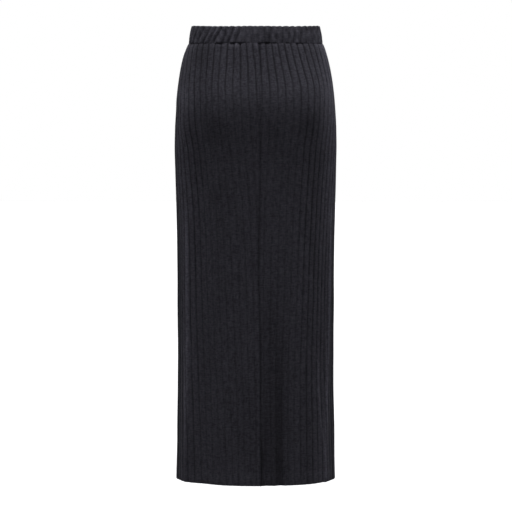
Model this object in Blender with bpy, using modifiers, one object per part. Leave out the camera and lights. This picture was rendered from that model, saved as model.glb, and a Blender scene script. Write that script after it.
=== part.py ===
# Ribbed midi skirt, filled out as when it is worn, with nobody in it.
#
# A straight skirt of rib knit hangs from a waistband gathered on elastic. Two back panels meet at a
# seam just right of centre, and one front panel joins them at the side seams. Each piece is a thin
# wall lofted through level rings, so waist and hem stay open and the skirt is hollow.
#
# Units are metres. The origin is the middle of the waist opening, halfway up the waistband. The back
# faces -Y, +X is to the right when the back is looked at, and the hem is at the low end of Z.

import bisect
import math
from collections import namedtuple

import bpy

SKIRT_LENGTH = 0.904   # from the waist edge to the hem, at the side seams
BAND_HEIGHT = 0.036
BAND_WALL = 0.003      # two layers of knit round the elastic
CLOTH_WALL = 0.0016
SEAM_GAP = 0.0005      # between two panels; where the cloth bends, the inner edges are nearer
BAND_SEAM_GAP = 0.0001 # below the band, where the slope of the walls opens it to 0.3 mm
WAIST_DIP = 0.0052     # the waist edge is this much lower at centre back and centre front
DIP_FADE = 0.200       # the dip has faded out this far below the waist edge

PANEL_ROWS = 24
BACK_COLUMNS = 24
FRONT_COLUMNS = 38
BAND_ROWS = 2
BAND_COLUMNS = 72
OUTLINE_STEPS = 720    # fine steps round a ring, from which arc lengths are read
ROW_CROWDING = 1.5     # above 1, a panel's rows crowd towards the waist
COLUMN_CROWDING = 1.2  # above 1, a back panel's columns crowd towards the centre back seam

BACK = -1
FRONT = 1

# Level sections of the skirt, from the waist edge down. Squareness is the superellipse's exponent.
Ring = namedtuple("Ring", "drop half_width back_depth front_depth squareness")
BAND_RINGS = (
    Ring(0.000, 0.1280, 0.0940, 0.0920, 2.10),
    Ring(0.036, 0.1338, 0.0990, 0.0960, 2.10),
)
SKIRT_RINGS = (
    Ring(0.036, 0.1344, 0.0996, 0.0966, 2.10),
    Ring(0.046, 0.1388, 0.1026, 0.0995, 2.12),
    Ring(0.076, 0.1470, 0.1098, 0.1043, 2.15),
    Ring(0.108, 0.1528, 0.1176, 0.1080, 2.20),
    Ring(0.124, 0.1550, 0.1215, 0.1094, 2.24),
    Ring(0.140, 0.1568, 0.1247, 0.1106, 2.28),
    Ring(0.156, 0.1582, 0.1266, 0.1117, 2.32),
    Ring(0.172, 0.1593, 0.1274, 0.1127, 2.35),
    Ring(0.188, 0.1603, 0.1273, 0.1135, 2.36),
    Ring(0.204, 0.1611, 0.1266, 0.1141, 2.35),
    Ring(0.240, 0.1617, 0.1246, 0.1147, 2.32),
    Ring(0.284, 0.1608, 0.1233, 0.1150, 2.28),
    Ring(0.364, 0.1588, 0.1228, 0.1145, 2.22),
    Ring(0.444, 0.1571, 0.1229, 0.1145, 2.18),
    Ring(0.560, 0.1565, 0.1235, 0.1155, 2.14),
    Ring(0.668, 0.1561, 0.1243, 0.1180, 2.10),
    Ring(0.800, 0.1576, 0.1255, 0.1220, 2.05),
    Ring(0.904, 0.1595, 0.1266, 0.1250, 2.00),
)

# Where the seams run, along the cloth: the centre back seam is this far right of centre back, and
# each side seam is this far in front of the skirt's widest line.
SeamPoint = namedtuple("SeamPoint", "drop centre_back side_forward")
SEAMS = (
    SeamPoint(0.036, 0.0075, 0.0060),
    SeamPoint(0.250, 0.0090, 0.0160),
    SeamPoint(0.500, 0.0060, 0.0100),
    SeamPoint(0.650, 0.0098, 0.0070),
    SeamPoint(0.904, 0.0100, 0.0040),
)

# Soft vertical folds. Place is along the cloth from the middle of that side to the fold's deepest
# line, positive towards +X; the reaches are its flanks' widths; inward is its depth, and a negative
# one stands out as a ridge. It begins at one drop and is fully formed at the next, and from there to
# the hem it drifts sideways.
Fold = namedtuple("Fold", "side place left_reach right_reach inward begins formed drift")
FOLDS = (
    Fold(BACK, 0.0480, 0.014, 0.010, 0.0050, 0.620, 0.780, 0.0020),
    Fold(BACK, 0.0220, 0.0105, 0.016, 0.0036, 0.500, 0.700, 0.0000),
    Fold(BACK, -0.1120, 0.046, 0.052, 0.0060, 0.030, 0.170, 0.0000),
    Fold(BACK, 0.1050, 0.050, 0.056, -0.0034, 0.030, 0.130, 0.0000),
    Fold(BACK, -0.1540, 0.013, 0.011, -0.0024, 0.330, 0.470, -0.0030),
    Fold(BACK, -0.1860, 0.022, 0.019, 0.0016, 0.300, 0.440, 0.0000),
    Fold(BACK, 0.1960, 0.020, 0.022, 0.0016, 0.340, 0.460, -0.0100),
    Fold(FRONT, -0.0720, 0.030, 0.022, 0.0050, 0.480, 0.800, 0.0040),
    Fold(FRONT, 0.0380, 0.018, 0.030, 0.0034, 0.600, 0.860, 0.0000),
    Fold(FRONT, 0.1180, 0.030, 0.024, 0.0030, 0.380, 0.620, -0.0060),
    Fold(FRONT, -0.1540, 0.018, 0.016, -0.0024, 0.320, 0.480, 0.0060),
    Fold(FRONT, 0.1700, 0.016, 0.014, -0.0022, 0.360, 0.520, -0.0080),
)

WAIST_Z = BAND_HEIGHT / 2
PANEL_TOP = BAND_HEIGHT + BAND_SEAM_GAP


def clear_scene():
    """Remove whatever the scene holds before the skirt is built."""
    for old in list(bpy.data.objects):
        bpy.data.objects.remove(old, do_unlink=True)


def linear_colour(hex_colour):
    """An sRGB hex colour as the linear RGBA that materials take."""
    channels = [int(hex_colour[start:start + 2], 16) / 255 for start in (0, 2, 4)]
    return [c / 12.92 if c <= 0.04045 else ((c + 0.055) / 1.055) ** 2.4 for c in channels] + [1.0]


def fabric(name, hex_colour, roughness):
    """A plain cloth material."""
    material = bpy.data.materials.new(name)
    material.use_nodes = True
    surface = material.node_tree.nodes["Principled BSDF"]
    surface.inputs["Base Color"].default_value = linear_colour(hex_colour)
    surface.inputs["Roughness"].default_value = roughness
    surface.inputs["Metallic"].default_value = 0.0
    return material


def eased(value, begins, ends):
    """0 before begins, 1 after ends, and a smooth rise between."""
    share = min(max((value - begins) / (ends - begins), 0.0), 1.0)
    return share * share * (3.0 - 2.0 * share)


def follow(places, values, place):
    """A smooth curve through the values that never overshoots them, read at a place."""
    gaps = [after - before for before, after in zip(places, places[1:])]
    rises = [(after - before) / gap for before, after, gap in zip(values, values[1:], gaps)]
    slopes = [rises[0]]
    for before, after in zip(rises, rises[1:]):
        slopes.append(2 * before * after / (before + after) if before * after > 0 else 0.0)
    slopes.append(rises[-1])
    span = min(max(bisect.bisect_right(places, place) - 1, 0), len(gaps) - 1)
    gap = gaps[span]
    t = min(max((place - places[span]) / gap, 0.0), 1.0)
    return (values[span] * (1 + 2 * t) * (1 - t) ** 2 + values[span + 1] * t * t * (3 - 2 * t)
            + gap * (slopes[span] * t * (1 - t) ** 2 + slopes[span + 1] * t * t * (t - 1)))


def ring_at(rings, drop):
    """The section at any drop, between the table's rings."""
    drops = [ring.drop for ring in rings]
    return Ring(*[follow(drops, list(column), drop) for column in zip(*rings)])


def seams_at(drop):
    """The seams' places at any drop, between the table's points."""
    drops = [point.drop for point in SEAMS]
    return SeamPoint(*[follow(drops, list(column), drop) for column in zip(*SEAMS)])


def bowed(value, squareness):
    """A sine or cosine turned into the superellipse's."""
    return math.copysign(abs(value) ** (2 / squareness), value)


def outline_of(ring, side):
    """Once round a ring by way of +X, as rows of arc, x, y with arc 0 at the middle of that side."""
    near, far = ring.back_depth, ring.front_depth
    if side == FRONT:
        near, far = far, near
    points = []
    for step in range(OUTLINE_STEPS + 1):
        angle = math.pi * (2 * step / OUTLINE_STEPS - 1)
        depth = near if math.cos(angle) > 0 else far
        points.append((ring.half_width * bowed(math.sin(angle), ring.squareness),
                       side * depth * bowed(math.cos(angle), ring.squareness)))
    arcs = [0.0]
    for before, after in zip(points, points[1:]):
        arcs.append(arcs[-1] + math.dist(before, after))
    middle = arcs[OUTLINE_STEPS // 2]
    return [(arc - middle, x, y) for arc, (x, y) in zip(arcs, points)]


def fold_height(side, place, drop):
    """How far the folds move the cloth outwards at this place and drop."""
    height = 0.0
    for fold in FOLDS:
        if fold.side != side:
            continue
        away = place - fold.place - fold.drift * eased(drop, fold.formed, SKIRT_LENGTH)
        reach = fold.left_reach if away < 0 else fold.right_reach
        if abs(away) < reach:
            flank = 0.5 + 0.5 * math.cos(math.pi * away / reach)
            height -= fold.inward * flank * eased(drop, fold.begins, fold.formed)
    return height


def cloth_point(rings, side, drop, share, edges):
    """A point of the outer surface, at a share of the way from one edge to the other."""
    ring = ring_at(rings, drop)
    outline = outline_of(ring, side)
    widest = outline[3 * OUTLINE_STEPS // 4][0]
    left, right = edges(seams_at(drop), widest)
    place = left + (right - left) * share
    arcs = [row[0] for row in outline]
    after = min(max(bisect.bisect_right(arcs, place), 1), OUTLINE_STEPS)
    (arc_0, x_0, y_0), (arc_1, x_1, y_1) = outline[after - 1], outline[after]
    part = (place - arc_0) / (arc_1 - arc_0)
    x = x_0 + (x_1 - x_0) * part
    y = y_0 + (y_1 - y_0) * part
    length = arc_1 - arc_0
    outward = (side * (y_0 - y_1) / length, side * (x_1 - x_0) / length)
    height = fold_height(side, place, drop)
    level = 1 - min(abs(x) / ring.half_width, 1.0) ** 4
    dip = WAIST_DIP * level * (1 - eased(drop, BAND_HEIGHT, DIP_FADE))
    return (x + outward[0] * height, y + outward[1] * height, WAIST_Z - drop - dip)


def grid_mesh(name, rows, closed):
    """Quads through a grid of points whose rows run down and whose columns run with the outside."""
    columns = len(rows[0])
    points = [point for row in rows for point in row]
    spans = columns if closed else columns - 1
    quads = []
    for row in range(len(rows) - 1):
        for column in range(spans):
            here = row * columns + column
            beside = row * columns + (column + 1) % columns
            quads.append((here, here + columns, beside + columns, beside))
    mesh = bpy.data.meshes.new(name)
    mesh.from_pydata(points, [], quads)
    mesh.shade_smooth()
    return mesh


def add_wall(mesh, wall, material, collection):
    """Put a cloth surface in the scene and give it its thickness, on its inner side."""
    piece = bpy.data.objects.new(mesh.name, mesh)
    collection.objects.link(piece)
    mesh.materials.append(material)
    solidify = piece.modifiers.new("Cloth wall", "SOLIDIFY")
    solidify.thickness = wall
    solidify.offset = -1.0
    solidify.use_even_offset = True
    return piece


def panel_drops():
    """Drops of a panel's rows, closer together near the waist."""
    fall = SKIRT_LENGTH - PANEL_TOP
    return [PANEL_TOP + fall * (row / PANEL_ROWS) ** ROW_CROWDING for row in range(PANEL_ROWS + 1)]


def build_back_left(material, collection):
    """From the left side seam to the centre back seam."""
    def edges(seams, widest):
        return -widest - seams.side_forward + SEAM_GAP / 2, seams.centre_back - SEAM_GAP / 2
    shares = [1 - (1 - step / BACK_COLUMNS) ** COLUMN_CROWDING for step in range(BACK_COLUMNS + 1)]
    rows = [[cloth_point(SKIRT_RINGS, BACK, drop, share, edges) for share in shares]
            for drop in panel_drops()]
    return add_wall(grid_mesh("back_left_panel", rows, False), CLOTH_WALL, material, collection)


def build_back_right(material, collection):
    """From the centre back seam to the right side seam, with the deep fold beside the seam."""
    def edges(seams, widest):
        return seams.centre_back + SEAM_GAP / 2, widest + seams.side_forward - SEAM_GAP / 2
    shares = [(step / BACK_COLUMNS) ** COLUMN_CROWDING for step in range(BACK_COLUMNS + 1)]
    rows = [[cloth_point(SKIRT_RINGS, BACK, drop, share, edges) for share in shares]
            for drop in panel_drops()]
    return add_wall(grid_mesh("back_right_panel", rows, False), CLOTH_WALL, material, collection)


def build_front(material, collection):
    """The whole front, from the right side seam to the left one."""
    def edges(seams, widest):
        reach = widest - seams.side_forward - SEAM_GAP / 2
        return reach, -reach
    shares = [step / FRONT_COLUMNS for step in range(FRONT_COLUMNS + 1)]
    rows = [[cloth_point(SKIRT_RINGS, FRONT, drop, share, edges) for share in shares]
            for drop in panel_drops()]
    return add_wall(grid_mesh("front_panel", rows, False), CLOTH_WALL, material, collection)


def build_waistband(material, collection):
    """The casing, one closed band, round the back from -X to +X and round the front again."""
    def back_edges(seams, widest):
        return -widest, widest

    def front_edges(seams, widest):
        return widest, -widest
    half_columns = BAND_COLUMNS // 2
    shares = [step / half_columns for step in range(half_columns)]
    rows = []
    for row in range(BAND_ROWS + 1):
        drop = BAND_HEIGHT * row / BAND_ROWS
        back = [cloth_point(BAND_RINGS, BACK, drop, share, back_edges) for share in shares]
        front = [cloth_point(BAND_RINGS, FRONT, drop, share, front_edges) for share in shares]
        rows.append(back + front)
    return add_wall(grid_mesh("waistband", rows, True), BAND_WALL, material, collection)


def build_skirt():
    """All the sewn pieces, in one collection."""
    collection = bpy.data.collections.new("ribbed_midi_skirt")
    bpy.context.scene.collection.children.link(collection)
    build_waistband(fabric("gathered_knit", "302F34", 0.90), collection)
    build_back_left(fabric("rib_knit_back_left", "2C2B30", 0.88), collection)
    build_back_right(fabric("rib_knit_back_right", "2D2C31", 0.88), collection)
    build_front(fabric("rib_knit_front", "2B2A2F", 0.88), collection)


clear_scene()
build_skirt()
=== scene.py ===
import math

import bpy
import numpy as np
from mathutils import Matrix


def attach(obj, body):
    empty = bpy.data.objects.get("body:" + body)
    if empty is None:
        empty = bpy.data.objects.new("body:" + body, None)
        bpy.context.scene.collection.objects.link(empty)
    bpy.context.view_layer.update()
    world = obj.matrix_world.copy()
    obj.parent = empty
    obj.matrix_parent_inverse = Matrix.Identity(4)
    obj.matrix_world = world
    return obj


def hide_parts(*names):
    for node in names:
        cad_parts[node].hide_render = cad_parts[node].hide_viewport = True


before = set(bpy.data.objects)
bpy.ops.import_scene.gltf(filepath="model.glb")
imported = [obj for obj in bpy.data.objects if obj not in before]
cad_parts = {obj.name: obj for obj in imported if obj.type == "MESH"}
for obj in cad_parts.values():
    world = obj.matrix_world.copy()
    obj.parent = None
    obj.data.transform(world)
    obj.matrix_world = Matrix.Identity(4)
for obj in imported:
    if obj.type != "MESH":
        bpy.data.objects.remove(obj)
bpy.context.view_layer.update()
print("frame loaded:", ", ".join(sorted(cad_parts)))

back = -1
front = 1
mm = 0.001

# Drops are measured down from the waist edge, and places along the cloth from the middle of a side,
# positive towards +X.
skirtForm = {
    "length": 0.904,        # waist edge to hem, at the side seams
    "bandHeight": 0.036,
    "panelTop": 0.0361,     # the panels' upper edges, sewn under the band
    "waistDip": 0.0052,     # the waist edge is lower by this at centre back and centre front
    "dipFade": 0.200,       # and cloth from this drop on isn't
    "seamRise": 0.0019,     # but the band's seam is drawn up again by this
    "riseReach": 0.022,     # with this much cloth above and below it
    "outlineSteps": 1440,   # points once round a section, to measure arcs on
    "darkest": 0.65,        # however many painted shades meet, they take no more of the light than this
    # level sections: drop, half width, back depth, front depth, squareness
    "bandRings": (
        (0.000, 0.1280, 0.0940, 0.0920, 2.10),
        (0.036, 0.1338, 0.0990, 0.0960, 2.10),
    ),
    "skirtRings": (
        (0.036, 0.1344, 0.0996, 0.0966, 2.10),
        (0.046, 0.1388, 0.1026, 0.0995, 2.12),
        (0.076, 0.1470, 0.1098, 0.1043, 2.15),
        (0.108, 0.1528, 0.1176, 0.1080, 2.20),
        (0.124, 0.1550, 0.1215, 0.1094, 2.24),
        (0.140, 0.1568, 0.1247, 0.1106, 2.28),
        (0.156, 0.1582, 0.1266, 0.1117, 2.32),
        (0.172, 0.1593, 0.1274, 0.1127, 2.35),
        (0.188, 0.1603, 0.1273, 0.1135, 2.36),
        (0.204, 0.1611, 0.1266, 0.1141, 2.35),
        (0.240, 0.1617, 0.1246, 0.1147, 2.32),
        (0.284, 0.1608, 0.1233, 0.1150, 2.28),
        (0.364, 0.1588, 0.1228, 0.1145, 2.22),
        (0.444, 0.1571, 0.1229, 0.1145, 2.18),
        (0.560, 0.1565, 0.1235, 0.1155, 2.14),
        (0.668, 0.1561, 0.1243, 0.1180, 2.10),
        (0.800, 0.1576, 0.1255, 0.1220, 2.05),
        (0.904, 0.1595, 0.1266, 0.1250, 2.00),
    ),
    # seams: drop, centre back seam right of the middle, side seams in front of the widest line
    "seams": (
        (0.036, 0.0075, 0.0060),
        (0.250, 0.0090, 0.0160),
        (0.500, 0.0060, 0.0100),
        (0.650, 0.0098, 0.0070),
        (0.904, 0.0100, 0.0040),
    ),
    # soft folds: side, place from that side's middle, left reach, right reach, inward, begins, formed, and
    # how far it drifts from there to the hem
    "folds": (
        (back, 0.0480, 0.014, 0.010, 0.0050, 0.620, 0.780, 0.0020),
        (back, 0.0220, 0.0105, 0.016, 0.0036, 0.500, 0.700, 0.0000),
        (back, 0.0340, 0.036, 0.030, 0.0010, 0.300, 0.780, 0.0000),
        (back, -0.1120, 0.046, 0.052, 0.0060, 0.030, 0.170, 0.0000),
        (back, 0.1050, 0.050, 0.056, -0.0034, 0.030, 0.130, 0.0000),
        (back, -0.1520, 0.012, 0.011, -0.0024, 0.330, 0.470, -0.0070),
        (back, -0.1880, 0.024, 0.020, 0.0016, 0.300, 0.440, -0.0040),
        (back, 0.1745, 0.008, 0.008, -0.0018, 0.340, 0.460, -0.0170),
        (back, 0.1300, 0.007, 0.007, -0.0014, 0.620, 0.690, 0.0270),
        (back, 0.1960, 0.022, 0.022, 0.0016, 0.340, 0.460, -0.0100),
        (back, -0.1950, 0.050, 0.040, -0.0014, 0.036, 0.060, 0.0000),
        (back, -0.1950, 0.050, 0.040, 0.0014, 0.145, 0.175, 0.0000),
        (front, -0.0720, 0.030, 0.022, 0.0050, 0.480, 0.800, 0.0040),
        (front, 0.0380, 0.018, 0.030, 0.0034, 0.600, 0.860, 0.0000),
        (front, 0.1180, 0.030, 0.024, 0.0030, 0.380, 0.620, -0.0060),
        (front, -0.1540, 0.018, 0.016, -0.0024, 0.320, 0.480, 0.0060),
        (front, 0.1700, 0.016, 0.014, -0.0022, 0.360, 0.520, -0.0080),
    ),
    # painted shade where cloth lies in soft shade, and painted highlights where it catches more light: side,
    # place, left reach, right reach, begins, formed, fades, gone, drift, and the share of its light that the
    # cloth loses there, negative where it gains. One that fades at 1.000 runs right down to the hem.
    # First the long fold at the centre back seam.
    "paintedShadeAndLight": (
        (back, 0.0470, 0.012, 0.010, 0.680, 0.880, 1.000, 1.100, 0.0020, 0.21),
        (back, 0.0300, 0.012, 0.014, 0.600, 0.680, 1.000, 1.100, 0.0000, -0.08),
        (back, 0.0190, 0.010, 0.010, 0.690, 0.800, 1.000, 1.100, 0.0000, 0.12),
        (back, 0.0130, 0.007, 0.007, 0.780, 0.850, 1.000, 1.100, 0.0000, 0.34),
        (back, -0.0010, 0.012, 0.007, 0.620, 0.740, 1.000, 1.100, 0.0000, 0.13),
        (back, 0.0330, 0.030, 0.056, 0.400, 0.800, 1.000, 1.100, 0.0000, 0.39),
        (back, 0.1050, 0.032, 0.034, 0.620, 0.800, 1.000, 1.100, 0.0000, 0.13),
        (back, -0.0200, 0.070, 0.040, 0.640, 0.740, 0.830, 0.890, 0.0000, 0.11),
        # hips and side ridges: painted highlights, and painted shade beside them
        (back, -0.1720, 0.060, 0.050, 0.105, 0.145, 0.360, 0.520, 0.0000, -0.45),
        (back, -0.1550, 0.045, 0.045, 0.200, 0.340, 0.640, 0.880, 0.0000, -0.28),
        (back, -0.1515, 0.010, 0.009, 0.330, 0.470, 0.720, 0.900, -0.0070, -0.85),
        (back, -0.1880, 0.024, 0.020, 0.300, 0.440, 1.000, 1.100, -0.0040, 0.30),
        (back, -0.2060, 0.018, 0.018, 0.130, 0.190, 1.000, 1.100, 0.0000, 0.50),
        (back, -0.1100, 0.040, 0.040, 0.240, 0.320, 0.480, 0.640, 0.0000, -0.14),
        (back, 0.1760, 0.060, 0.080, 0.010, 0.050, 0.340, 0.520, 0.0000, -0.66),
        (back, 0.1500, 0.045, 0.045, 0.240, 0.420, 1.000, 1.100, 0.0000, -0.16),
        (back, 0.1745, 0.009, 0.009, 0.300, 0.400, 0.680, 0.960, -0.0170, -0.90),
        (back, 0.1300, 0.007, 0.007, 0.620, 0.690, 1.000, 1.100, 0.0270, -0.40),
        (back, 0.1960, 0.022, 0.022, 0.340, 0.460, 1.000, 1.100, -0.0100, 0.30),
        (back, 0.2060, 0.018, 0.018, 0.240, 0.480, 1.000, 1.100, 0.0000, 0.50),
        (back, 0.0950, 0.040, 0.035, 0.260, 0.340, 0.520, 0.640, 0.0000, -0.12),
        (back, 0.1650, 0.042, 0.040, 0.500, 0.620, 0.740, 0.840, 0.0000, 0.12),
        # painted shadow below the seat
        (back, -0.0830, 0.035, 0.045, 0.165, 0.200, 0.215, 0.255, 0.0000, 0.17),
        (back, 0.1000, 0.035, 0.045, 0.160, 0.192, 0.205, 0.240, 0.0000, 0.13),
        # waistband and the cloth under it: painted shade, and painted highlights on its puffs
        (back, 0.0240, 0.010, 0.010, 0.002, 0.020, 0.036, 0.040, 0.0000, 0.42),
        (back, -0.1350, 0.055, 0.055, -0.010, -0.001, 0.012, 0.028, 0.0000, 0.38),
        (back, 0.1250, 0.055, 0.055, -0.010, -0.001, 0.006, 0.016, 0.0000, 0.48),
        (back, 0.1110, 0.006, 0.005, 0.006, 0.012, 0.020, 0.028, 0.0000, -0.32),
        (back, 0.1230, 0.006, 0.005, 0.006, 0.012, 0.020, 0.028, 0.0000, -0.32),
        (back, 0.0015, 0.009, 0.009, 0.034, 0.037, 0.041, 0.050, 0.0000, -0.50),
        (back, -0.0400, 0.018, 0.018, 0.034, 0.037, 0.041, 0.050, 0.0000, -0.28),
        (back, 0.0400, 0.018, 0.018, 0.034, 0.037, 0.041, 0.050, 0.0000, -0.12),
        (back, -0.1200, 0.045, 0.050, 0.034, 0.037, 0.055, 0.095, 0.0000, 0.28),
        (back, 0.1300, 0.045, 0.045, 0.034, 0.037, 0.055, 0.085, 0.0000, 0.16),
        (back, -0.0100, 0.130, 0.090, 0.060, 0.085, 0.120, 0.150, 0.0000, 0.07),
        # painted shade and painted highlights of the front's folds and ridges
        (front, -0.0720, 0.034, 0.022, 0.480, 0.800, 1.000, 1.100, 0.0040, 0.30),
        (front, 0.0380, 0.018, 0.034, 0.600, 0.860, 1.000, 1.100, 0.0000, 0.24),
        (front, 0.1180, 0.034, 0.026, 0.380, 0.620, 1.000, 1.100, -0.0060, 0.18),
        (front, -0.1540, 0.018, 0.016, 0.320, 0.480, 1.000, 1.100, 0.0060, -0.50),
        (front, 0.1700, 0.016, 0.014, 0.360, 0.520, 1.000, 1.100, -0.0080, -0.50),
        (front, -0.1640, 0.060, 0.060, 0.070, 0.120, 0.340, 0.520, 0.0000, -0.34),
        (front, 0.1860, 0.080, 0.070, 0.030, 0.070, 0.360, 0.540, 0.0000, -0.48),
        (front, 0.0100, 0.120, 0.110, 0.130, 0.210, 0.300, 0.440, 0.0000, 0.13),
        (front, -0.0310, 0.012, 0.012, 0.002, 0.020, 0.036, 0.040, 0.0000, 0.30),
        (front, -0.0080, 0.012, 0.012, 0.034, 0.037, 0.041, 0.050, 0.0000, -0.30),
        (front, 0.0500, 0.018, 0.018, 0.034, 0.037, 0.041, 0.050, 0.0000, -0.25),
    ),
}


# 0 before begins, 1 after ends, and 3t^2 - 2t^3 between
def eased(value, begins, ends):
    share = np.clip((value - begins) / (ends - begins), 0.0, 1.0)
    return share * share * (3.0 - 2.0 * share)


# Cubic pieces through a table's rows, read at each place. The slope at a row is the harmonic mean of the
# rises beside it, or none where they turn, so the curve never overshoots.
def follow(table, place):
    table = np.asarray(table, float)
    places, values = table[:, 0], table[:, 1:]
    gaps = np.diff(places)[:, None]
    rises = np.diff(values, axis=0) / gaps
    above, below = rises[:-1], rises[1:]
    alike = above * below > 0
    inner = np.where(alike, 2 * above * below / np.where(alike, above + below, 1.0), 0.0)
    slopes = np.vstack([rises[:1], inner, rises[-1:]])
    place = np.clip(place, places[0], places[-1])
    span = np.clip(np.searchsorted(places, place, side="right") - 1, 0, len(gaps) - 1)
    gap = gaps[span]
    t = (place - places[span])[:, None] / gap
    return (values[span] * (1 + 2 * t) * (1 - t) ** 2 + values[span + 1] * t * t * (3 - 2 * t)
            + gap * (slopes[span] * t * (1 - t) ** 2 + slopes[span + 1] * t * t * (t - 1))).T[..., None]


# Superellipse sections: x = halfWidth * sin^(2/n) and y = depth * cos^(2/n), each with its own sign. The
# outward direction is the gradient of |x/halfWidth|^n + |y/depth|^n.
def onSection(section, side, angle):
    halfWidth, backDepth, frontDepth, squareness = section
    near, far = (backDepth, frontDepth) if side == back else (frontDepth, backDepth)
    sine, cosine = np.sin(angle), np.cos(angle)
    depth = np.where(cosine > 0, near, far)
    x = halfWidth * np.sign(sine) * np.abs(sine) ** (2 / squareness)
    y = side * depth * np.sign(cosine) * np.abs(cosine) ** (2 / squareness)
    steep = 2 - 2 / squareness
    outX = np.sign(sine) * np.abs(sine) ** steep / halfWidth
    outY = side * np.sign(cosine) * np.abs(cosine) ** steep / depth
    size = np.hypot(outX, outY)
    return x, y, outX / size, outY / size


# Angles and arc lengths once round each row's section, the arc counted from the middle of that side
def roundSection(section, side):
    steps = skirtForm["outlineSteps"]
    angles = np.linspace(-math.pi, math.pi, steps + 1)
    x, y = onSection(section, side, angles[None, :])[:2]
    arcs = np.zeros_like(x)
    arcs[:, 1:] = np.cumsum(np.hypot(np.diff(x), np.diff(y)), axis=1)
    return angles, arcs - arcs[:, steps // 2, None]


# Arc length from the middle of a side to the widest line, for each row
def widestArc(rings, side, drops):
    arcs = roundSection(follow(rings, drops), side)[1]
    return arcs[:, 3 * skirtForm["outlineSteps"] // 4, None]


# A cosine bump with its own two flanks: half of one plus the cosine of half a turn times the distance over
# the reach, so 1 along its middle line and 0 beyond its reach. It grows from one drop to another, and
# drifts sideways below that.
def softBump(places, drops, place, leftReach, rightReach, begins, formed, drift):
    away = places - place - drift * eased(drops, formed, skirtForm["length"])
    flank = np.clip(np.abs(away) / np.where(away < 0, leftReach, rightReach), 0.0, 1.0)
    return (0.5 + 0.5 * np.cos(math.pi * flank)) * eased(drops, begins, formed)


# How far outwards a side's folds move the cloth: minus inward times the bump, added up over its folds
def foldHeight(side, places, drops):
    height = np.zeros_like(places)
    for foldSide, place, leftReach, rightReach, inward, begins, formed, drift in skirtForm["folds"]:
        if foldSide == side:
            height -= inward * softBump(places, drops, place, leftReach, rightReach, begins, formed, drift)
    return height


# Painted shade and painted light: how much of its light the cloth loses, dark times the bump, fading
# again lower down, added up over the side's painted shades
def paintedShading(side, places, drops):
    shade = np.zeros_like(places)
    for tone in skirtForm["paintedShadeAndLight"]:
        toneSide, place, leftReach, rightReach, begins, formed, fades, gone, drift, dark = tone
        if toneSide == side:
            bump = softBump(places, drops, place, leftReach, rightReach, begins, formed, drift)
            shade += dark * bump * (1 - eased(drops, fades, gone))
    return np.minimum(shade, skirtForm["darkest"])


# A bell: 1 at the middle, falling off as e to the minus square of the distance over the reach
def bell(distance, reach):
    return np.exp(-(distance / reach) ** 2)


# Points of the cloth: from each row's section at an arc length, moved outwards by the folds and the lift.
# A row is level but for the sag, the waist's dip and the rise of the band's seam. The last two go with one
# less the fourth power of x over the half width, so they are most at the middle and nothing at the sides.
def layCloth(rings, side, drops, places, lift, sag=0.0):
    section = follow(rings, drops)
    angles, arcs = roundSection(section, side)
    angle = np.stack([np.interp(place, arc, angles) for place, arc in zip(places, arcs)])
    x, y, outX, outY = onSection(section, side, angle)
    column = drops[:, None]
    height = lift + foldHeight(side, places, column)
    middle = 1 - np.minimum(np.abs(x) / section[0], 1.0) ** 4
    bandHeight = skirtForm["bandHeight"]
    dip = skirtForm["waistDip"] * (1 - eased(column, bandHeight, skirtForm["dipFade"]))
    rise = skirtForm["seamRise"] * bell(column - bandHeight, skirtForm["riseReach"])
    z = bandHeight / 2 - column + (rise - dip) * middle - sag
    return np.stack([x + outX * height, y + outY * height, z], axis=2)


# Several sine waves of random direction and phase, added up and scaled to about -1 to 1. Each has half to
# 1.6 turns in the length asked for.
def uneven(across, down, acrossLength, downLength, seed, waves=9):
    chance = np.random.default_rng(seed)
    total = 0.0
    for wave in range(waves):
        turnsAcross, turnsDown = chance.uniform(0.5, 1.6, 2) * chance.choice((-1.0, 1.0), 2)
        phase = chance.uniform(0, 2 * math.pi)
        total = total + np.sin(2 * math.pi * (turnsAcross * across / acrossLength
                                              + turnsDown * down / downLength) + phase)
    return total / math.sqrt(2 * waves)


# Ribs are counted round the cloth and a whole number is a groove: number = start + place / sidePitch
# + (1/seamPitch - 1/sidePitch) * spread * tanh(place / spread). The local pitch is one over its slope.
def ribNumber(ribs, places, drops):
    start, seamPitch, sidePitch = follow(ribs["rows"], drops)
    seamPitch, sidePitch, spread = seamPitch * mm, sidePitch * mm, ribs["spread"]
    extra = 1 / seamPitch - 1 / sidePitch
    bend = np.tanh(places / spread)
    number = start + places / sidePitch + extra * spread * bend
    return number, 1 / (1 / sidePitch + extra * (1 - bend ** 2))


# A rib is a low round back, falling from its middle by the crown times the square of the share of the way
# to a groove. A groove is a narrow dip, the depth times e to minus half the square of the distance over
# the width. Returns the lift and how far down in a groove each point is, 0 to 1.
def ribLift(number, pitch, depth, crown, grooveWidth):
    share = np.abs(number - np.round(number))
    groove = np.exp(-0.5 * (share * pitch / grooveWidth) ** 2)
    return -crown * (1 - 2 * share) ** 2 - depth * groove, groove


# sRGB hex to linear: c / 12.92 for the darkest, ((c + 0.055) / 1.055)^2.4 for the rest
def hexColour(code):
    channels = np.array([int(code[start:start + 2], 16) for start in (0, 2, 4)]) / 255
    linear = np.where(channels <= 0.04045, channels / 12.92, ((channels + 0.055) / 1.055) ** 2.4)
    return (*[float(channel) for channel in linear], 1.0)


# Adds a node, sets its own settings, then fills its inputs with values, with other nodes' outputs, or with
# another node's first output
def addNode(tree, kind, settings=None, inputs=None):
    node = tree.nodes.new(kind)
    for key, value in (settings or {}).items():
        setattr(node, key, value)
    for key, value in (inputs or {}).items():
        if isinstance(value, bpy.types.Node):
            value = value.outputs[0]
        if isinstance(value, bpy.types.NodeSocket):
            tree.links.new(value, node.inputs[key])
        else:
            node.inputs[key].default_value = value
    return node


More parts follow.
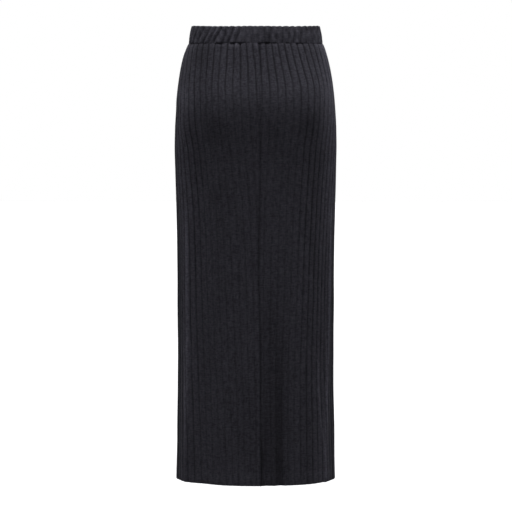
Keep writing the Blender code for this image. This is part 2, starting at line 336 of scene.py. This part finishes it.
jersey = {
    "ribColour": "323138",
    "fleckColour": "47464E",
    # colour of the painted shade at the foot of a groove
    "grooveShadeColour": "17161A",
    "roughness": 0.92,
    "specular": 0.08,
    "sheen": 0.02,
    "sheenRoughness": 0.45,
    "sheenColour": "C9C8D6",
    "walesPerRib": 8,          # a 14 mm rib of stitches 1.75 mm wide, about twice the real gauge so they show
    "course": 1.5 * mm,        # height of a stitch, coarse for the same reason
    "stitchRelief": 0.25 * mm,
    "stitchShare": 0.8,        # of that relief, how much comes from the stitches
    "fibreShare": 0.3,         # and how much from loose fibre
    "bumpStrength": 0.6,
    "fleck": 3.2 * mm,         # width of the lighter and darker streaks of the yarn, which run with the ribs
    "fleckStretch": 4.0,
    "grain": 2.4 * mm,         # and height of the fainter ones that run along the courses
    "grainStretch": 3.0,
    "fleckRange": (0.35, 0.67),  # the streaks' mean that is all rib colour, and the one all fleck colour
    "cloud": 45.45 * mm,       # slow unevenness of the dye
    "cloudShare": 0.20,
    "grooveShade": 0.70,       # how far the yarn goes to the painted groove shade colour at the foot of a groove
}


# Fine jersey of black and grey viscose: matt, with flecks, and a soft bloom of fibre ends at grazing
# angles. Knitted in wales that follow the ribs, each stitch a V. The material reads the cloth's own map,
# u in ribs round the skirt and v in metres down it, and two measures that each point of the cloth carries:
# how deep it lies in a groove, for the painted shade there, and how much of its light it loses, which is
# painted shade and painted light.
def makeJersey(name, values):
    material = bpy.data.materials.new(name)
    material.use_nodes = True
    tree = material.node_tree
    tree.nodes.clear()
    add, subtract, multiply = {"operation": "ADD"}, {"operation": "SUBTRACT"}, {"operation": "MULTIPLY"}
    mathNode = "ShaderNodeMath"

    # stitches: sine of the place across a wale times half of one plus sine of the place along its V
    clothMap = addNode(tree, "ShaderNodeUVMap", {"uv_map": "cloth"})
    place = addNode(tree, "ShaderNodeSeparateXYZ", {}, {0: clothMap})
    wale = addNode(tree, mathNode, multiply, {0: place.outputs["X"], 1: values["walesPerRib"]})
    waleShare = addNode(tree, mathNode, {"operation": "FRACT"}, {0: wale})
    offMiddle = addNode(tree, mathNode, subtract, {0: waleShare, 1: 0.5})
    side = addNode(tree, mathNode, {"operation": "ABSOLUTE"}, {0: offMiddle})
    level = addNode(tree, mathNode, {"operation": "DIVIDE"}, {0: place.outputs["Y"], 1: values["course"]})
    course = addNode(tree, mathNode, add, {0: level, 1: side})
    sideAngle = addNode(tree, mathNode, multiply, {0: side, 1: 2 * math.pi})
    across = addNode(tree, mathNode, {"operation": "SINE"}, {0: sideAngle})
    courseAngle = addNode(tree, mathNode, multiply, {0: course, 1: 2 * math.pi})
    along = addNode(tree, mathNode, {"operation": "SINE"}, {0: courseAngle})
    rising = addNode(tree, mathNode, {"operation": "MULTIPLY_ADD"}, {0: along, 1: 0.5, 2: 0.5})
    loops = addNode(tree, mathNode, multiply, {0: across, 1: rising})

    # yarn: streaks that run with the ribs and along the courses, half and half, and the dye's clouds
    where = addNode(tree, "ShaderNodeTexCoord").outputs["Object"]
    stretched = addNode(tree, "ShaderNodeMapping", {}, {
        "Vector": where, "Scale": (1.0, 1.0, 1 / values["fleckStretch"])})
    fleck = addNode(tree, "ShaderNodeTexNoise", {}, {
        "Vector": stretched, "Scale": 1 / values["fleck"], "Detail": 2.0, "Roughness": 0.6})
    flat = 1 / values["grainStretch"]
    levelled = addNode(tree, "ShaderNodeMapping", {}, {"Vector": where, "Scale": (flat, flat, 1.0)})
    grain = addNode(tree, "ShaderNodeTexNoise", {}, {
        "Vector": levelled, "Scale": 1 / values["grain"], "Detail": 1.0})
    streaks = addNode(tree, mathNode, add, {0: fleck, 1: grain})
    darkest, palest = values["fleckRange"]
    flecks = addNode(tree, "ShaderNodeMapRange", {}, {
        "Value": streaks, "From Min": 2 * darkest, "From Max": 2 * palest})
    yarn = addNode(tree, "ShaderNodeMix", {"data_type": "RGBA"}, {
        0: flecks, 6: hexColour(values["ribColour"]), 7: hexColour(values["fleckColour"])})
    cloud = addNode(tree, "ShaderNodeTexNoise", {}, {
        "Vector": where, "Scale": 1 / values["cloud"], "Detail": 2.0})
    cloudAway = addNode(tree, mathNode, subtract, {0: cloud, 1: 0.5})
    dye = addNode(tree, mathNode, multiply, {0: cloudAway, 1: values["cloudShare"]})

    # painted shade: grooves go to a darker colour, and the cloth's painted shade and painted light take their
    # share of the light
    groove = addNode(tree, "ShaderNodeAttribute", {"attribute_name": "groove"}).outputs["Fac"]
    shadeShare = addNode(tree, mathNode, {"operation": "MULTIPLY_ADD"}, {
        0: groove, 1: values["grooveShade"], 2: dye})
    shaded = addNode(tree, "ShaderNodeMix", {"data_type": "RGBA"}, {
        0: shadeShare, 6: yarn.outputs[2], 7: hexColour(values["grooveShadeColour"])})
    shade = addNode(tree, "ShaderNodeAttribute", {"attribute_name": "shade"}).outputs["Fac"]
    kept = addNode(tree, mathNode, subtract, {0: 1.0, 1: shade})
    colour = addNode(tree, "ShaderNodeVectorMath", {"operation": "SCALE"}, {
        0: shaded.outputs[2], "Scale": kept})

    fibres = addNode(tree, mathNode, multiply, {0: grain, 1: values["fibreShare"]})
    relief = addNode(tree, mathNode, {"operation": "MULTIPLY_ADD"}, {
        0: loops, 1: values["stitchShare"], 2: fibres})
    bump = addNode(tree, "ShaderNodeBump", {}, {
        "Height": relief, "Strength": values["bumpStrength"], "Distance": values["stitchRelief"]})
    surface = addNode(tree, "ShaderNodeBsdfPrincipled", {}, {
        "Base Color": colour,
        "Normal": bump,
        "Roughness": values["roughness"],
        "Specular IOR Level": values["specular"],
        "Sheen Weight": values["sheen"],
        "Sheen Roughness": values["sheenRoughness"],
        "Sheen Tint": hexColour(values["sheenColour"]),
    })
    addNode(tree, "ShaderNodeOutputMaterial", {}, {"Surface": surface})
    return material


# Puts a grid of points in the scene as one piece of cloth. Rows run down the outside and columns run with
# it, so each quad is here, below, below and beside, beside. The cloth map has one more column than a
# closed grid has points.
def addCloth(name, points, clothMap, groove, shade, closed, thickness, material):
    rows, columns = points.shape[:2]
    spans = columns if closed else columns - 1
    row, column = np.mgrid[0:rows - 1, 0:spans]
    cornerRow = np.stack([row, row + 1, row + 1, row], axis=2).reshape(-1, 4)
    cornerColumn = np.stack([column, column, column + 1, column + 1], axis=2).reshape(-1, 4)
    mesh = bpy.data.meshes.new(name)
    mesh.from_pydata(points.reshape(-1, 3), [], cornerRow * columns + cornerColumn % columns)
    layer = mesh.uv_layers.new(name="cloth")
    layer.data.foreach_set("uv", clothMap[cornerRow, cornerColumn].astype(np.float32).ravel())
    for layerName, values in (("groove", groove), ("shade", shade)):
        layer = mesh.attributes.new(layerName, "FLOAT", "POINT")
        layer.data.foreach_set("value", values.astype(np.float32).ravel())
    mesh.shade_smooth()
    mesh.materials.append(material)
    piece = bpy.data.objects.new(name, mesh)
    bpy.context.scene.collection.objects.link(piece)
    wall = piece.modifiers.new("cloth thickness", "SOLIDIFY")
    wall.thickness = thickness
    wall.offset = -1.0
    return piece


seamShadow = {
    # dashes where the band hangs over its seam: middle and half length in mm, from the middle of that side,
    # and strength
    "back": (
        (-163, 5, 0.5), (-146, 6, 0.6), (-128, 4, 0.5), (-108, 6, 0.6), (-72, 9, 1.0), (-46, 7, 1.0),
        (-29, 8, 0.9), (11, 4, 0.8), (23, 7, 1.0), (38, 4, 0.9), (64, 4, 0.8), (89, 8, 0.8), (108, 4, 0.2),
        (126, 5, 0.2), (150, 6, 0.4),
    ),
    "front": (
        (-160, 6, 0.7), (-139, 5, 0.5), (-117, 7, 0.9), (-90, 5, 0.6), (-71, 4, 0.8), (-46, 7, 1.0),
        (-20, 5, 0.6), (2, 4, 0.8), (23, 7, 1.0), (51, 4, 0.6), (70, 6, 0.9), (96, 5, 0.7), (121, 7, 0.9),
        (145, 4, 0.6), (164, 5, 0.6),
    ),
    "closed": 0.90,            # between the dashes the seam is this much less deep
    "overhang": 1.1 * mm,      # the band bulges over a dash by this, from this far above it
    "overhangReach": 8.0 * mm,
    "tuckIn": 0.9 * mm,        # and the panel draws in under it by this, down to this far below
    "tuckReach": 3.5 * mm,
    "dark": 0.60,              # painted shadow: how much of its light the cloth loses in a dash
    "darkReach": 2.5 * mm,     # out to this far from the seam
}


# Full strength inside a dash and falling off round its ends: e to minus the fourth power of the distance
# over the half length, and the strongest dash counts
def seamDashes(side, places):
    total = np.zeros_like(places)
    for middle, reach, strength in seamShadow["back" if side == back else "front"]:
        total = np.maximum(total, strength * np.exp(-((places / mm - middle) / reach) ** 4))
    return total


panelCut = {
    "thickness": 1.2 * mm,
    "tuck": 2.0 * mm,          # radius of the turn into the band seam
    "tuckRows": 5,
    "hemRadius": 1.3 * mm,     # outer radius of the fold at the hem
    "hemRows": 6,
    "hemTurn": 0.020,          # turned up inside
    "hemTurnRows": 5,
    "rowCrowding": 1.25,       # above 1, rows crowd towards the waist
    "seamRadius": 1.0 * mm,    # each panel's edge turns in to its seam with this radius
    "seamColumns": 4,
    "seamLip": 3.0 * mm,       # and runs in this far
    "hemLip": 2.4 * mm,        # but less where the hem doubles it, changing between these heights above it
    "lipNarrows": (0.050, 0.025),
    "seamGap": 0.1 * mm,
    "seamValley": 1.2 * mm,    # the cloth dips this much more beside a seam, and painted shade takes some of its light there
    "valleyWidth": 3.2 * mm,
    # painted shade in the seam valleys
    "seamDark": 0.28,
    "seamDarkens": (0.080, 0.450),  # between these drops
    "hemPale": 0.10,           # painted light along the doubled hem: this much more light, from these heights above it
    "hemPales": (0.034, 0.020),
    "crown": 0.45 * mm,
    "grooveWidth": 1.20 * mm,
    "fullDepth": 1.4 * mm,     # a groove this deep is as dark as one can be
    # groove depth in mm: drop, at the middle, at the sides
    "relief": (
        (0.036, 1.60, 1.60),
        (0.110, 1.20, 1.45),
        (0.190, 0.40, 1.65),
        (0.400, 0.44, 1.80),
        (0.700, 0.45, 1.25),
        (0.920, 0.44, 1.00),
    ),
    "outer": (0.078, 0.138),   # from the middle of a side to its deeper ribs
    "outerShift": 0.014,       # the middle of the shallow ribs is this far left of the back's middle
    "depthStray": 0.22,        # a groove's depth strays by this share in waves this long
    "strayLength": 0.170,
    "fineStray": 0.25,         # and by this share in short ones
    "fineLength": 0.022,
    "ribShift": 0.37,          # of a wave from one groove to the next
    "puff": 0.8 * mm,          # how far the cloth puffs out just below the band
    "puffDrop": 4.0 * mm,
    "puffReach": 5.0 * mm,
    "puffLoss": 0.85,          # less by this share at the sides
    "puffStray": 0.55,
    "puffLengths": (0.016, 0.200),
    "waver": 0.30 * mm,        # slow unevenness of the whole surface
    "waverLengths": (0.055, 0.160),
}


# One panel between two edges. Rows go from the band seam down to the hem, round the fold and up inside;
# columns go across, with a rounded lip turned in at each side edge. An inset row or column lies that far
# inside the form, and the ribs move the inset layers with the outer one. A turn is a quarter or half
# circle: radius times sine one way, and radius times one less cosine the other.
def makePanel(name, side, edges, values, material):
    cut = panelCut
    top, length, seed = skirtForm["panelTop"], skirtForm["length"], values["seed"]
    radius, tuck = cut["hemRadius"], cut["tuck"]
    turn = np.linspace(0, math.pi / 2, cut["tuckRows"] + 1)[:-1]
    tuckDrops, tuckInset = top + tuck * (1 - np.cos(turn)), tuck * (1 - np.sin(turn))
    share = np.linspace(0, 1, values["rows"])
    bodyDrops = top + tuck + (length - radius - top - tuck) * share ** cut["rowCrowding"]
    turn = np.linspace(0, math.pi, cut["hemRows"] + 2)[1:-1]
    foldDrops, foldInset = length - radius + radius * np.sin(turn), radius * (1 - np.cos(turn))
    innerDrops = np.linspace(length - radius, length - cut["hemTurn"], cut["hemTurnRows"])
    drops = np.concatenate([tuckDrops, bodyDrops, foldDrops, innerDrops])
    inset = np.concatenate([tuckInset, 0 * bodyDrops, foldInset, 0 * innerDrops + 2 * radius])[:, None]
    down = np.concatenate([[0.0], np.cumsum(np.hypot(np.diff(drops), np.diff(inset[:, 0])))])[:, None]
    column = drops[:, None]

    # across: the lip of one edge, the panel, the lip of the other
    leftEdge, rightEdge = edges(follow(skirtForm["seams"], drops),
                                widestArc(skirtForm["skirtRings"], side, drops))
    direction = np.sign(rightEdge - leftEdge)
    above, below = cut["lipNarrows"]
    lip = cut["seamLip"] + (cut["hemLip"] - cut["seamLip"]) * eased(column, length - above, length - below)
    edgeRadius = cut["seamRadius"]
    turn = np.linspace(math.pi / 2, 0, cut["seamColumns"] + 1)[None, :-1]
    lipInset = np.concatenate([lip, edgeRadius * (1 - np.cos(turn)) + 0 * lip], axis=1)
    lipAway = np.concatenate([0 * lip, edgeRadius * (1 - np.sin(turn)) + 0 * lip], axis=1) * direction
    share = np.linspace(0, 1, values["columns"])[None, :]
    start = leftEdge + direction * edgeRadius
    middle = start + (rightEdge - leftEdge - 2 * direction * edgeRadius) * share
    places = np.concatenate([leftEdge + lipAway, middle, (rightEdge - lipAway)[:, ::-1]], axis=1)
    sideInset = np.concatenate([lipInset, 0 * middle, lipInset[:, ::-1]], axis=1)

    # ribs
    number, pitch = ribNumber(values["ribs"], places, drops)
    middleDepth, sideDepth = follow(cut["relief"], drops)
    outer = eased(np.abs(places + cut["outerShift"]), *cut["outer"])
    shift = np.round(number) * cut["ribShift"]
    stray = (1 + cut["depthStray"] * uneven(shift, column, 1.0, cut["strayLength"], seed)
             + cut["fineStray"] * uneven(shift, column, 1.0, cut["fineLength"], seed + 3))
    depth = (middleDepth + (sideDepth - middleDepth) * outer) * stray * mm
    lift, groove = ribLift(number, pitch, depth, cut["crown"], cut["grooveWidth"])
    groove = groove * np.clip(depth / cut["fullDepth"], 0, 1)

    # seams, puffs and slow unevenness
    valley = bell(np.minimum(np.abs(places - leftEdge), np.abs(places - rightEdge)), cut["valleyWidth"])
    puff = bell(column - top - cut["puffDrop"], cut["puffReach"]) * (1 - cut["puffLoss"] * outer)
    puffWave = uneven(places, column, *cut["puffLengths"], seed + 1)
    dashes = seamDashes(side, places)
    tuckedIn = np.concatenate([tuckInset, np.zeros(len(drops) - len(tuckInset))])[:, None]
    lift = lift - cut["seamValley"] * valley
    lift = lift + cut["puff"] * puff * (1 - cut["puffStray"] + cut["puffStray"] * puffWave)
    lift = lift + cut["waver"] * uneven(places, column, *cut["waverLengths"], seed + 2)
    lift = lift + tuckedIn * np.maximum(1 - dashes, 0.0) * seamShadow["closed"]
    lift = lift - seamShadow["tuckIn"] * dashes * bell(column - top, seamShadow["tuckReach"])

    # painted light and shade: the side's painted shading, painted light along the hem, painted shade in the
    # seam valleys and painted shadow under the band's dashes
    above, below = cut["hemPales"]
    shade = paintedShading(side, places, column)
    shade = shade - cut["hemPale"] * eased(column, length - above, length - below)
    shade = shade + cut["seamDark"] * valley * eased(column, *cut["seamDarkens"])
    shade = shade + seamShadow["dark"] * dashes * bell(column - top, seamShadow["darkReach"])
    points = layCloth(skirtForm["skirtRings"], side, drops, places, lift - inset - sideInset)
    clothMap = np.stack([number, down + 0 * number], axis=2)
    return addCloth(name, points, clothMap, groove, shade, False, cut["thickness"], material)


backLeft = {
    "columns": 210,
    "rows": 190,
    "seed": 11,
    "ribs": {
        "spread": 0.070,           # the pitch changes over about this much cloth
        # drop, rib number at the middle of the side, pitch in mm there, pitch in mm at the side seam
        "rows": (
            (0.036, 10.60, 11.6, 15.2),
            (0.057, 10.35, 12.7, 15.0),
            (0.082, 10.07, 14.2, 14.4),
            (0.129, 9.90, 15.8, 14.2),
            (0.191, 9.68, 16.0, 14.0),
            (0.255, 9.38, 15.1, 13.2),
            (0.376, 8.80, 13.9, 13.5),
            (0.502, 8.40, 13.6, 14.2),
            (0.658, 8.22, 12.3, 15.8),
            (0.804, 7.96, 11.6, 16.8),
            (0.920, 7.80, 11.4, 17.0),
        ),
    },
}

backRight = {
    "columns": 205,
    "rows": 190,
    "seed": 23,
    "ribs": {
        "spread": 0.070,
        "rows": (
            (0.036, 0.33, 11.6, 15.2),
            (0.057, 0.32, 12.5, 15.1),
            (0.082, 0.29, 13.8, 14.9),
            (0.129, 0.23, 15.7, 15.3),
            (0.191, 0.25, 16.2, 14.0),
            (0.255, 0.40, 15.3, 13.0),
            (0.376, 0.85, 15.6, 12.0),
            (0.502, 1.00, 15.0, 11.6),
            (0.658, 0.72, 12.2, 12.6),
            (0.804, 0.15, 10.2, 15.0),
            (0.920, -0.15, 9.8, 15.6),
        ),
    },
}

frontPanel = {
    "columns": 350,
    "rows": 118,
    "seed": 37,
    "ribs": {
        "spread": 0.070,
        "rows": (
            (0.036, 0.40, 12.2, 14.8),
            (0.082, 0.40, 13.6, 14.4),
            (0.160, 0.40, 14.6, 14.0),
            (0.376, 0.42, 14.4, 13.6),
            (0.658, 0.50, 13.8, 14.2),
            (0.920, 0.60, 13.4, 14.8),
        ),
    },
}


# From the left side seam, in front of the widest line, to the centre back seam, less half a gap at each
def makeBackLeft(material):
    def edges(seams, widest):
        centreBack, sideForward = seams
        return -widest - sideForward + panelCut["seamGap"] / 2, centreBack - panelCut["seamGap"] / 2
    piece = makePanel("back_left_cloth", back, edges, backLeft, material)
    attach(piece, "root")
    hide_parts("back_left_panel")
    print("back left panel laid")


# From the centre back seam to the right side seam, less half a gap at each
def makeBackRight(material):
    def edges(seams, widest):
        centreBack, sideForward = seams
        return centreBack + panelCut["seamGap"] / 2, widest + sideForward - panelCut["seamGap"] / 2
    piece = makePanel("back_right_cloth", back, edges, backRight, material)
    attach(piece, "root")
    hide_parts("back_right_panel")
    print("back right panel laid")


# From side seam to side seam, cut in one, less half a gap at each
def makeFront(material):
    def edges(seams, widest):
        reach = widest - seams[1] - panelCut["seamGap"] / 2
        return reach, -reach
    piece = makePanel("front_cloth", front, edges, frontPanel, material)
    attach(piece, "root")
    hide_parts("front_panel")
    print("front panel laid")


waistband = {
    "thickness": 1.1 * mm,
    "depth": 3.4 * mm,          # from the casing's outer face to its inner one, round the elastic
    "tuck": 1.8 * mm,           # radius of the outer edge's turn into the seam
    "tuckRows": 5,
    "topRows": 9,
    "outerRows": 26,
    "innerRows": 14,
    "columns": 440,
    "groove": 2.1 * mm,         # width of a pinched groove
    # painted shade at the foot of a pinched groove
    "groovePaintedShade": 0.60,
    "fullDepth": 1.1 * mm,      # a groove this deep takes the full painted groove shade
    "pale": 0.24,               # painted light: the band's colour is drawn this much lighter than the panels'
    "crown": 0.9 * mm,
    "bow": 1.0 * mm,            # the casing bulges by this halfway down
    "pinch": 1.6,               # scales the grooves' depths
    "waver": 0.45 * mm,
    "waverLengths": (0.022, 0.030),
    "joinFade": (0.002, 0.020),  # the waver comes in between these distances from the halves' join
    "innerShare": 0.6,          # how much of the gathers the inner layer follows
    "innerMeets": 6.0 * mm,     # the inner layer comes out to the outer one this far above the seam
    "scallop": 0.30,            # share of a groove's depth by which the top edge dips there
    "scallopReach": 4.0 * mm,
    # pinched grooves between the back's gathers, in mm: place at the top and at the foot, depth at the top
    # and at the foot
    "backGrooves": (
        (-178, -184, 0.6, 0.6), (-158, -168, 0.3, 0.4), (-141, -156, 0.3, 0.4), (-124, -144, 0.3, 0.5),
        (-107, -128, 0.4, 0.7), (-90, -112, 0.5, 0.9), (-78, -98, 0.5, 0.5), (-66, -87, 0.9, 0.8),
        (-54, -66, 1.2, 0.9), (-40, -55, 1.0, 0.9), (-28.5, -40, 1.3, 1.0), (-17, -21, 0.5, 0.6),
        (-5.5, -8.5, 0.5, 0.5), (4, 4, 0.6, 0.5), (16.5, 17, 0.9, 1.0), (31, 27, 1.1, 1.5),
        (43, 41.5, 0.9, 0.9), (54, 53, 1.1, 1.0), (69, 65.5, 1.0, 1.0), (82, 77, 1.0, 0.9),
        (98, 92, 0.9, 1.2), (112, 107, 1.1, 0.8), (128, 123.5, 1.0, 0.9), (144, 145, 0.9, 0.8),
        (157, 160, 0.8, 0.8), (178, 184, 0.6, 0.6),
    ),
    # the front's grooves, in mm
    "frontHalf": 175.0,         # to each side of the middle
    "frontPitch": 13.0,         # apart
    "frontStray": 2.2,          # give or take
    "frontLean": 6.0,           # leaning one way or the other by up to this
    "frontSpread": 1.035,       # the foot of the band is this many times as long as its top
    "frontDepth": 0.95,
    "frontDepthStray": (0.6, 1.25),
    "frontEnd": 0.6,            # depth at the sides, as the back's, which they meet there
    "frontSeed": 5,
    "waverSeed": 70,
}


# Counts along a row from groove to groove, evenly between two, so that a whole number is a groove. Returns
# it with the depth there and the pitch of the two grooves beside it. A groove's place and depth change
# evenly from its top to its foot.
def gatherNumber(grooves, places, fall):
    count = np.arange(len(grooves))
    tops, feet, topDepth, footDepth = np.array(grooves, float).T
    lines = (tops + (feet - tops) * fall[:, None]) * mm
    number = np.stack([np.interp(place, line, count) for place, line in zip(places, lines)])
    depths = topDepth + (footDepth - topDepth) * fall[:, None]
    depth = np.stack([np.interp(row, count, line) for row, line in zip(number, depths)]) * mm
    gap = np.diff(lines, axis=1)
    span = np.clip(number.astype(int), 0, len(grooves) - 2)
    return number, depth, np.take_along_axis(gap, span, axis=1)


# The front's grooves: evenly spaced, then each moved and leaned by chance
def frontGrooves(values):
    chance = np.random.default_rng(values["frontSeed"])
    tops = np.arange(-values["frontHalf"], values["frontHalf"] + 1, values["frontPitch"])
    tops = tops + chance.uniform(-1, 1, len(tops)) * values["frontStray"]
    feet = tops * values["frontSpread"] + chance.uniform(-1, 1, len(tops)) * values["frontLean"]
    depths = values["frontDepth"] * chance.uniform(*values["frontDepthStray"], (2, len(tops)))
    depths[:, [0, -1]] = values["frontEnd"]
    return list(zip(tops, np.sort(feet), *depths))


# The casing: one strip folded over its elastic. Rows go up the inside, over the rounded top and down the
# outside to the seam; columns go once round, the back from -X to +X and then the front. It bulges as
# 4 * bow * fall * (1 - fall), fall being the share of the way down.
def makeWaistband(material):
    values = waistband
    height, depth, tuck = skirtForm["bandHeight"], values["depth"], values["tuck"]
    topRadius = depth / 2
    innerDrops = np.linspace(height, topRadius, values["innerRows"])
    turn = np.linspace(math.pi, 0, values["topRows"] + 2)[1:-1]
    topDrops, topInset = topRadius - topRadius * np.sin(turn), topRadius * (1 - np.cos(turn))
    outerDrops = np.linspace(topRadius, height - tuck, values["outerRows"])
    turn = np.linspace(0, math.pi / 2, values["tuckRows"] + 1)[1:]
    tuckDrops, tuckInset = height - tuck + tuck * np.sin(turn), tuck * (1 - np.cos(turn))
    meets = eased(innerDrops, height - values["innerMeets"], height)
    innerInset = depth - (depth - tuck - values["thickness"]) * meets
    drops = np.concatenate([innerDrops, topDrops, outerDrops, tuckDrops])
    inset = np.concatenate([innerInset, topInset, 0 * outerDrops, tuckInset])[:, None]
    down = np.concatenate([[0.0], np.cumsum(np.hypot(np.diff(drops), np.diff(inset[:, 0])))])[:, None]
    column = drops[:, None]
    fall = np.clip(drops / height, 0, 1)
    bulge = 4 * values["bow"] * (fall * (1 - fall))[:, None]
    follows = 1 - (1 - values["innerShare"]) * np.clip(inset / depth, 0, 1)
    outside = np.arange(len(drops)) >= len(innerDrops) + len(topDrops)
    tuckedIn = np.where(outside, inset[:, 0], 0.0)[:, None]

    # each half is laid by itself, and its last column is the other half's first
    halves, maps, grooves, shades = [], [], [], []
    share = np.linspace(0, 1, values["columns"] // 2 + 1)[None, :]
    counted = 0.0
    for side, table in ((back, values["backGrooves"]), (front, frontGrooves(values))):
        widest = widestArc(skirtForm["bandRings"], side, drops)
        places = side * widest * (1 - 2 * share)
        number, pinch, pitch = gatherNumber(table, places, fall)
        lift, groove = ribLift(number, pitch, pinch * values["pinch"], values["crown"], values["groove"])
        steady = eased(widest - np.abs(places), *values["joinFade"])
        waver = steady * uneven(places, column, *values["waverLengths"], values["waverSeed"] + side)
        dashes = seamDashes(side, places)
        lift = lift + values["waver"] * waver + bulge
        lift = lift + seamShadow["overhang"] * dashes * bell(column - height, seamShadow["overhangReach"])
        lift = lift + tuckedIn * np.maximum(1 - dashes, 0.0) * seamShadow["closed"]
        sag = -values["scallop"] * lift * bell(column, values["scallopReach"])
        points = layCloth(skirtForm["bandRings"], side, drops, places, lift * follows - inset, sag)
        groove = values["groovePaintedShade"] * groove * np.clip(pinch / values["fullDepth"], 0, 1)
        # painted light and shade: the side's painted shading, the band's painted light, and painted shadow
        # under the band's dashes
        shade = paintedShading(side, places, column) - values["pale"]
        shade = shade + seamShadow["dark"] * dashes * bell(column - height, seamShadow["darkReach"])
        across = np.abs(number - number[:, :1]) + counted
        counted = across[:, -1:]
        halves.append(points[:, :-1])
        grooves.append(groove[:, :-1])
        shades.append(shade[:, :-1])
        maps.append(across if side == front else across[:, :-1])
    across = np.concatenate(maps, axis=1)
    clothMap = np.stack([across, down + 0 * across], axis=2)
    piece = addCloth("waistband_cloth", np.concatenate(halves, axis=1), clothMap,
                     np.concatenate(grooves, axis=1), np.concatenate(shades, axis=1), True,
                     values["thickness"], material)
    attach(piece, "root")
    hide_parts("waistband")
    print("waistband gathered")


studio = {
    "cameraDistance": 4.5,
    "cameraDrop": 0.300,        # the camera stands level with this drop below the waist edge
    "aimDrop": 0.4584,          # and looks at this one
    "sideways": 0.0006,         # and it is this far right of the skirt's middle
    "pictureWidth": 1.024,      # what the picture takes in at the skirt's middle
    "sensor": 36.0,
    "clipEnd": 200.0,
    "floorGap": 0.120,          # from the hem down to the floor
    "floorRadius": 60.0,
    "floorSides": 96,
    "floorColour": "C9C9CB",
    "floorRoughness": 0.95,
    "floorSpecular": 0.1,
    # soft lamps as wide as the sky: name, lean from overhead in degrees and towards which azimuth, width
    # in degrees, strength
    "lamps": (
        ("overhead", 2.15, 152.0, 60.0, 6.2),
        ("fill", 65.0, 0.0, 100.0, 0.52),
        ("far fill", 65.0, 180.0, 100.0, 0.52),
    ),
}


# A camera behind the skirt, white all round, soft lamps and a round floor. The lens is the sensor times
# the distance over the picture's width, and the tilt's tangent is the fall of the view over the distance.
def makeStudio():
    values = studio
    scene = bpy.context.scene
    waistZ = skirtForm["bandHeight"] / 2
    camera = bpy.data.objects.new("camera", bpy.data.cameras.new("camera"))
    camera.data.sensor_width = values["sensor"]
    camera.data.lens = values["sensor"] * values["cameraDistance"] / values["pictureWidth"]
    camera.data.clip_end = values["clipEnd"]
    tilt = math.atan((values["aimDrop"] - values["cameraDrop"]) / values["cameraDistance"])
    camera.location = (values["sideways"], -values["cameraDistance"], waistZ - values["cameraDrop"])
    camera.rotation_euler = (math.pi / 2 - tilt, 0.0, 0.0)
    scene.collection.objects.link(camera)
    scene.camera = camera

    # the white surround is only seen; all the light comes from the lamps
    world = bpy.data.worlds.new("white surround")
    world.use_nodes = True
    world.node_tree.nodes["Background"].inputs["Color"].default_value = hexColour("FFFFFF")
    world.cycles_visibility.diffuse = False
    world.cycles_visibility.glossy = False
    scene.world = world
    scene.view_settings.view_transform = "Standard"

    for name, lean, azimuth, width, strength in values["lamps"]:
        lamp = bpy.data.lights.new(name, "SUN")
        lamp.angle = math.radians(width)
        lamp.energy = strength
        held = bpy.data.objects.new(name, lamp)
        held.rotation_euler = (math.radians(lean), 0.0, math.radians(azimuth))
        scene.collection.objects.link(held)

    angle = np.linspace(0, 2 * math.pi, values["floorSides"] + 1)[:-1]
    level = waistZ - skirtForm["length"] - values["floorGap"]
    rim = np.stack([np.cos(angle), np.sin(angle), 0 * angle], axis=1) * values["floorRadius"]
    rim[:, 2] = level
    mesh = bpy.data.meshes.new("floor")
    mesh.from_pydata(rim, [], [list(range(len(rim)))])
    paper = bpy.data.materials.new("matt_paper")   # seamless studio paper: pale, quite without gloss
    paper.use_nodes = True
    surface = paper.node_tree.nodes["Principled BSDF"]
    surface.inputs["Base Color"].default_value = hexColour(values["floorColour"])
    surface.inputs["Roughness"].default_value = values["floorRoughness"]
    surface.inputs["Specular IOR Level"].default_value = values["floorSpecular"]
    mesh.materials.append(paper)
    floor = bpy.data.objects.new("floor", mesh)
    floor.visible_diffuse = False
    scene.collection.objects.link(floor)
    print("camera, lamps and floor placed")


ribJersey = makeJersey("viscose_rib_jersey", jersey)
makeWaistband(ribJersey)
makeBackLeft(ribJersey)
makeBackRight(ribJersey)
makeFront(ribJersey)
makeStudio()
